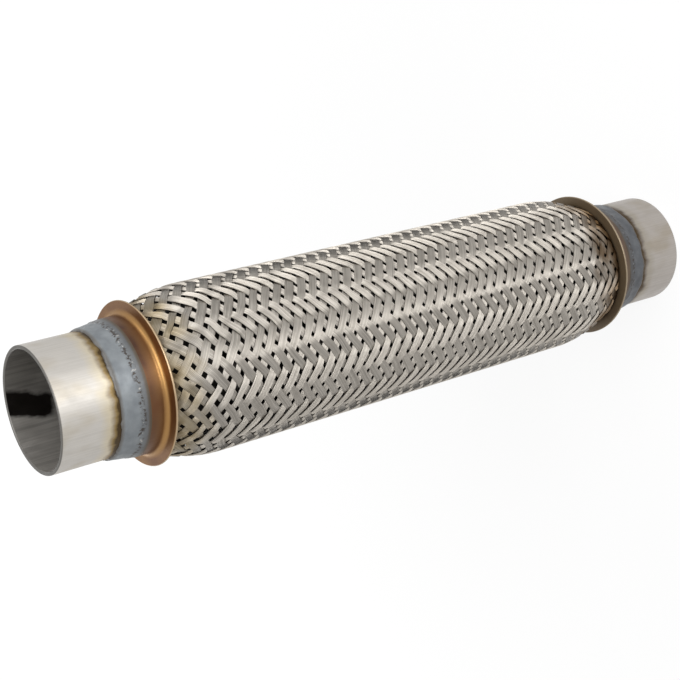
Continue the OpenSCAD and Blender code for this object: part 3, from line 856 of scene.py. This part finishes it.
def let_stray(mesh, sizes, rising, seed):
    """Moves strands a little from their even places, as a braiding machine leaves them.
    Near the inlet the wires of a strand also fan out or close up."""
    points = points_of(mesh)/MM
    height = points[:, 2].copy()
    angle = np.arctan2(points[:, 1], points[:, 0])
    radius = np.hypot(points[:, 0], points[:, 1])
    draw = np.random.default_rng(seed)
    slide = np.zeros(len(points))
    drift = np.zeros(len(points))
    for waves, long in STRAY_WAVES:
        slide += np.sin(waves*angle + 2*math.pi*height/long + draw.uniform(0, PHASES))
        drift += np.sin(waves*angle - 2*math.pi*height/long + draw.uniform(0, PHASES))
    loose = STRAY_SHARE*sizes.stray/MM*(1 + LOOSER*np.exp((height - BRAID_TOP_Z)/LOOSER_REACH))
    chart = np.empty(len(mesh.loops)*2, np.float32)
    mesh.uv_layers["strand"].data.foreach_get("uv", chart)
    place = np.zeros((len(points), 2))
    place[corner_points(mesh)] = chart.reshape(-1, 2)
    knots = draw.uniform(-1, 1, int(COPIES*RINGS_A_COPY/FAN_RINGS) + 2)
    fan = np.interp(place[:, 0]/FAN_RINGS, np.arange(len(knots)), knots)
    fan = fan*FAN_SHARE*np.exp((height - BRAID_TOP_Z)/FAN_REACH)
    across = (place[:, 1] - 0.5)*sizes.strand/MM*fan
    climb = ring_climb(place[:, 0] % RINGS_A_COPY)
    sweep = (1 if rising else -1)*ROW*radius
    pace = np.hypot(climb, sweep)
    angle = angle + drift*loose/radius - across*climb/pace/radius
    points[:, 0] = radius*np.cos(angle)
    points[:, 1] = radius*np.sin(angle)
    points[:, 2] += swell(height)*(slide*loose + across*sweep/pace)
    set_points(mesh, points*MM)


class FLEXPIPE_OT_braid(bpy.types.Operator):
    """Weaves the outer braid: 24 strands wound each way, two over and two under"""
    bl_idname = "flexpipe.braid"
    bl_label = "Weave Braid"

    def execute(self, context):
        scene = context.scene
        wire = braid_wire(scene.flex_pipe_finishes)
        for hand, rising, seed in (("right", True, 12), ("left", False, 10)):
            for number, half in ((0, "first"), (1, "second")):
                name = f"braid_{hand}_hand_{half}"
                first = draw_strand(name, scene.flex_pipe_sizes, rising, number)
                strands = wind_round(first, name)
                let_stray(strands.data, scene.flex_pipe_sizes, rising, seed)
                dress(strands, wire)
                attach(strands, BODY)
                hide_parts("outer_braid")
        return {"FINISHED"}


# Camera: place in metres, directions found by matching the photograph's edges, lens, and turn in degrees
CAMERA_AT = Vector((0.0, -0.5109, 0.5233))
CAMERA_RIGHT = Vector((-0.2591, -0.5354, -0.8039))
CAMERA_UP = Vector((0.9658, -0.1369, -0.2201))
CAMERA_LENS = 76.65
CAMERA_TURN = 13.2
# Softboxes: way by the camera's up, right and back, then distance, width, height (m) and power (W)
SOFTBOXES = (
    ("key_softbox", (0.11, -0.42, 0.9), 0.95, 0.6, 0.6, 4.5),
    ("front_softbox", (0.3, 0.5, 0.83), 0.9, 0.62, 0.3, 3.0),
    ("top_softbox", (0.8, -0.45, 0.4), 1.1, 0.5, 0.5, 1.5),
    ("back_softbox", (-0.3, -0.5, -0.8), 1.2, 0.6, 0.6, 2.6))
# Floor and mat: sizes and places in metres, and colours
FLOOR_SIZE = 8
FLOOR_WHITE = "#EDEDED"
FLOOR_GLOW = 1.05
MAT_AT = (0, 0.34, 0.001)
MAT_SIZE = (0.76, 0.5)
MAT_GREY = "#828282"
# Light that the world gives, where 1 is the white that the camera sees
WORLD_LIGHT = 0.4


def seen_plainly(tree):
    """1 for the rays of the camera, of reflections and of glass, and 0 for those that light other things."""
    path = add(tree, "ShaderNodeLightPath")
    seen = add(tree, "ShaderNodeMath", {0: path["Is Camera Ray"], 1: path["Is Glossy Ray"]},
               operation="MAXIMUM")[0]
    return add(tree, "ShaderNodeMath", {0: seen, 1: path["Is Transmission Ray"]}, operation="MAXIMUM")[0]


class FLEXPIPE_OT_studio(bpy.types.Operator):
    """Sets up the white floor, the soft lights and the camera"""
    bl_idname = "flexpipe.studio"
    bl_label = "Set Up Studio"

    def execute(self, context):
        scene = context.scene
        scene.view_settings.view_transform = "Standard"
        turn = Matrix.Rotation(math.radians(CAMERA_TURN), 4, "Z")
        right = CAMERA_RIGHT.normalized()
        up = (CAMERA_UP - CAMERA_UP.dot(right)*right).normalized()
        back = right.cross(up)
        aim = Matrix((right, up, back)).transposed().to_4x4()
        deselect()
        bpy.ops.object.camera_add()
        camera = context.active_object
        camera.name = "camera"
        camera.matrix_world = turn @ Matrix.Translation(CAMERA_AT) @ aim
        camera.data.lens = CAMERA_LENS
        camera.data.sensor_width = 36
        camera.data.clip_start = 0.01
        scene.camera = camera
        for name, (over, side, ahead), *rest in SOFTBOXES:
            self.hang_softbox(name, turn @ (over*up + side*right + ahead*back).normalized(), *rest)
        self.lay_floor()
        self.lay_mat(turn)
        self.light_world(scene)
        return {"FINISHED"}

    def hang_softbox(self, name, way, far, wide, tall, power):
        """An oval softbox that faces the middle of the pipe."""
        deselect()
        middle = Vector((0, 0, LENGTH*MM/2))
        bpy.ops.object.light_add(type="AREA", location=middle + far*way)
        lamp = bpy.context.active_object
        lamp.name = name
        lamp.rotation_euler = way.to_track_quat("Z", "Y").to_euler()
        lamp.data.shape = "ELLIPSE"
        lamp.data.size = wide
        lamp.data.size_y = tall
        lamp.data.energy = power

    def lay_mat(self, turn):
        """A grey mat behind the pipe, out of the camera's sight, for the wires to reflect."""
        deselect()
        bpy.ops.mesh.primitive_plane_add(size=1)
        mat = bpy.context.active_object
        mat.name = "grey_mat"
        mat.matrix_world = turn @ Matrix.Translation(MAT_AT) @ Matrix.Diagonal((*MAT_SIZE, 1, 1))
        material, tree, shader = new_material("grey_felt")
        fill(tree, shader, {"Base Color": linear(MAT_GREY), "Roughness": 1.0})
        mat.data.materials.append(material)
        mat.visible_camera = False
        mat.visible_diffuse = False
        mat.visible_shadow = False

    def lay_floor(self):
        """A white sweep: plain to the eye and in reflections, with the pipe's own shadow kept."""
        deselect()
        bpy.ops.mesh.primitive_plane_add(size=FLOOR_SIZE)
        floor = bpy.context.active_object
        floor.name = "studio_floor"
        material, tree, shader = new_material("white_paper")
        fill(tree, shader, {"Base Color": linear(FLOOR_WHITE), "Roughness": 0.9})
        spot = add(tree, "ShaderNodeTexCoord")["Object"]
        away = add(tree, "ShaderNodeVectorMath", {0: spot}, operation="LENGTH")["Value"]
        share = add(tree, "ShaderNodeMapRange", {
            "Value": away, "From Min": 0.15, "From Max": 0.75, "To Min": 0.84})[0]
        share = add(tree, "ShaderNodeMath", {0: seen_plainly(tree), 1: share}, operation="MULTIPLY")[0]
        glow = add(tree, "ShaderNodeEmission", {"Color": (1, 1, 1), "Strength": FLOOR_GLOW})[0]
        mixed = add(tree, "ShaderNodeMixShader", {0: share, 1: shader.outputs[0], 2: glow})[0]
        fill(tree, tree.nodes["Material Output"], {"Surface": mixed})
        floor.data.materials.append(material)

    def light_world(self, scene):
        """White to the eye and in reflections, and a softer white for the light it gives."""
        world = bpy.data.worlds.new("studio")
        scene.world = world
        world.use_nodes = True
        tree = world.node_tree
        soft = tree.nodes["Background"]
        fill(tree, soft, {"Color": (1, 1, 1), "Strength": WORLD_LIGHT})
        white = add(tree, "ShaderNodeBackground", {"Color": (1, 1, 1), "Strength": 1.0})[0]
        mixed = add(tree, "ShaderNodeMixShader", {0: seen_plainly(tree), 1: soft.outputs[0], 2: white})[0]
        fill(tree, tree.nodes["World Output"], {"Surface": mixed})


class FLEXPIPE_PT_panel(bpy.types.Panel):
    """Lists the sizes, the finishes and the steps"""
    bl_idname = "FLEXPIPE_PT_panel"
    bl_label = "Exhaust Flex Pipe"
    bl_space_type = "VIEW_3D"
    bl_region_type = "UI"
    bl_category = "Flex Pipe"

    def draw(self, context):
        layout = self.layout
        for group in (context.scene.flex_pipe_sizes, context.scene.flex_pipe_finishes):
            box = layout.box()
            for name in group.bl_rna.properties.keys():
                if name not in ("rna_type", "name"):
                    box.prop(group, name)
        for step in STEPS:
            layout.operator(step.bl_idname)


STEPS = (FLEXPIPE_OT_studio, FLEXPIPE_OT_stub_pipes, FLEXPIPE_OT_end_caps, FLEXPIPE_OT_inner_pieces,
         FLEXPIPE_OT_weld_beads, FLEXPIPE_OT_braid)
CLASSES = (FlexPipeSizes, FlexPipeFinishes, *STEPS, FLEXPIPE_PT_panel)


def register():
    for item in CLASSES:
        bpy.utils.register_class(item)
    bpy.types.Scene.flex_pipe_sizes = bpy.props.PointerProperty(type=FlexPipeSizes)
    bpy.types.Scene.flex_pipe_finishes = bpy.props.PointerProperty(type=FlexPipeFinishes)


def unregister():
    del bpy.types.Scene.flex_pipe_finishes
    del bpy.types.Scene.flex_pipe_sizes
    for item in reversed(CLASSES):
        bpy.utils.unregister_class(item)


def main():
    register()
    bpy.ops.flexpipe.studio()
    bpy.ops.flexpipe.stub_pipes()
    bpy.ops.flexpipe.end_caps()
    bpy.ops.flexpipe.inner_pieces()
    bpy.ops.flexpipe.weld_beads()
    bpy.ops.flexpipe.braid()
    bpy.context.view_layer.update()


if __name__ == "__main__":
    main()
